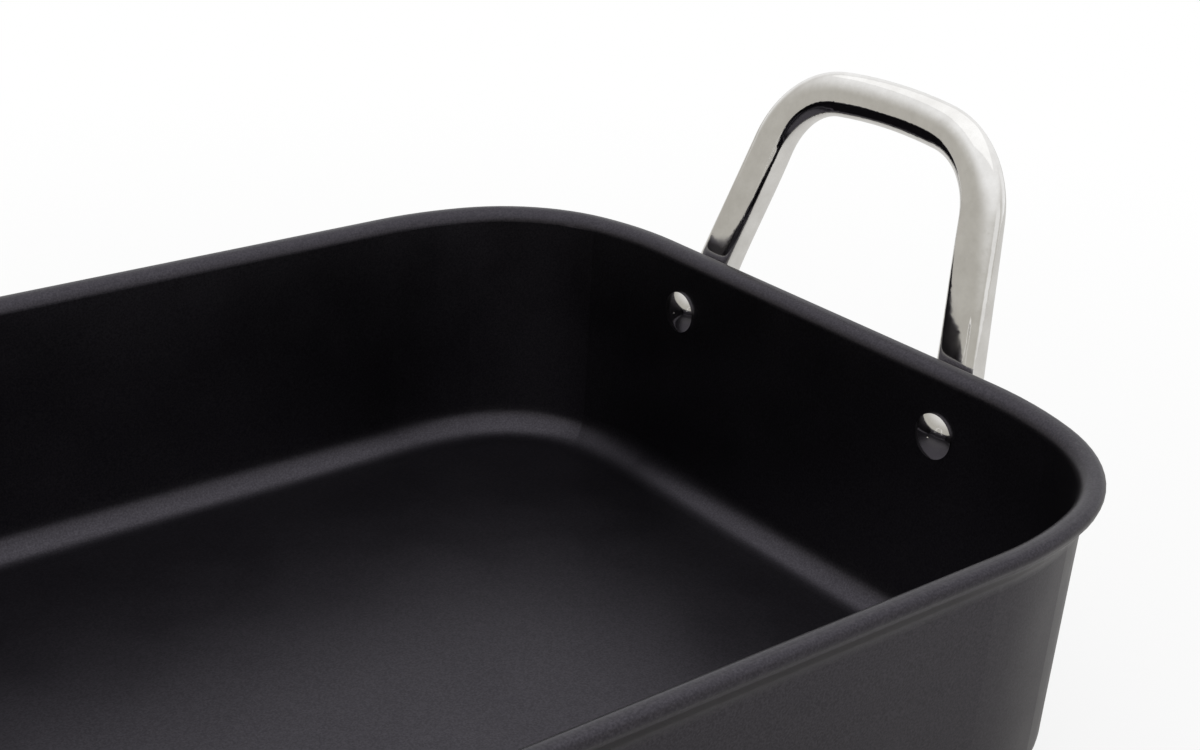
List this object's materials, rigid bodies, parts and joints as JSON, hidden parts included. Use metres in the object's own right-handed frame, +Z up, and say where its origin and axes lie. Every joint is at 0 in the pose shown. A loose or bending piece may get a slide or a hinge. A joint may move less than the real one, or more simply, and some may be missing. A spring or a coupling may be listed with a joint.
{
  "type": "roasting pan",
  "caption": "Deep rectangular roasting pan with rounded corners, a rolled lip and a riveted upright loop handle at each short side.",
  "frame": {"origin": "bottom centre: under the middle of the pan, on the plane it stands on", "axes": "+X towards one handle, along the long side; +Z up, out of the pan; +Y completes the right-handed frame"},
  "size_m": [0.4724, 0.33, 0.1723],
  "materials": {
    "pan": "hard-anodised aluminium with a dark grey nonstick coating, satin, finely speckled",
    "handle": "polished cast stainless steel",
    "rivet": "satin steel"
  },
  "bodies": {
    "root": {"pan_body": "pan", "handle_right": "handle", "handle_left": "handle", "rivet_right_front": "rivet", "rivet_right_rear": "rivet", "rivet_left_front": "rivet", "rivet_left_rear": "rivet"}
  },
  "joints": []
}
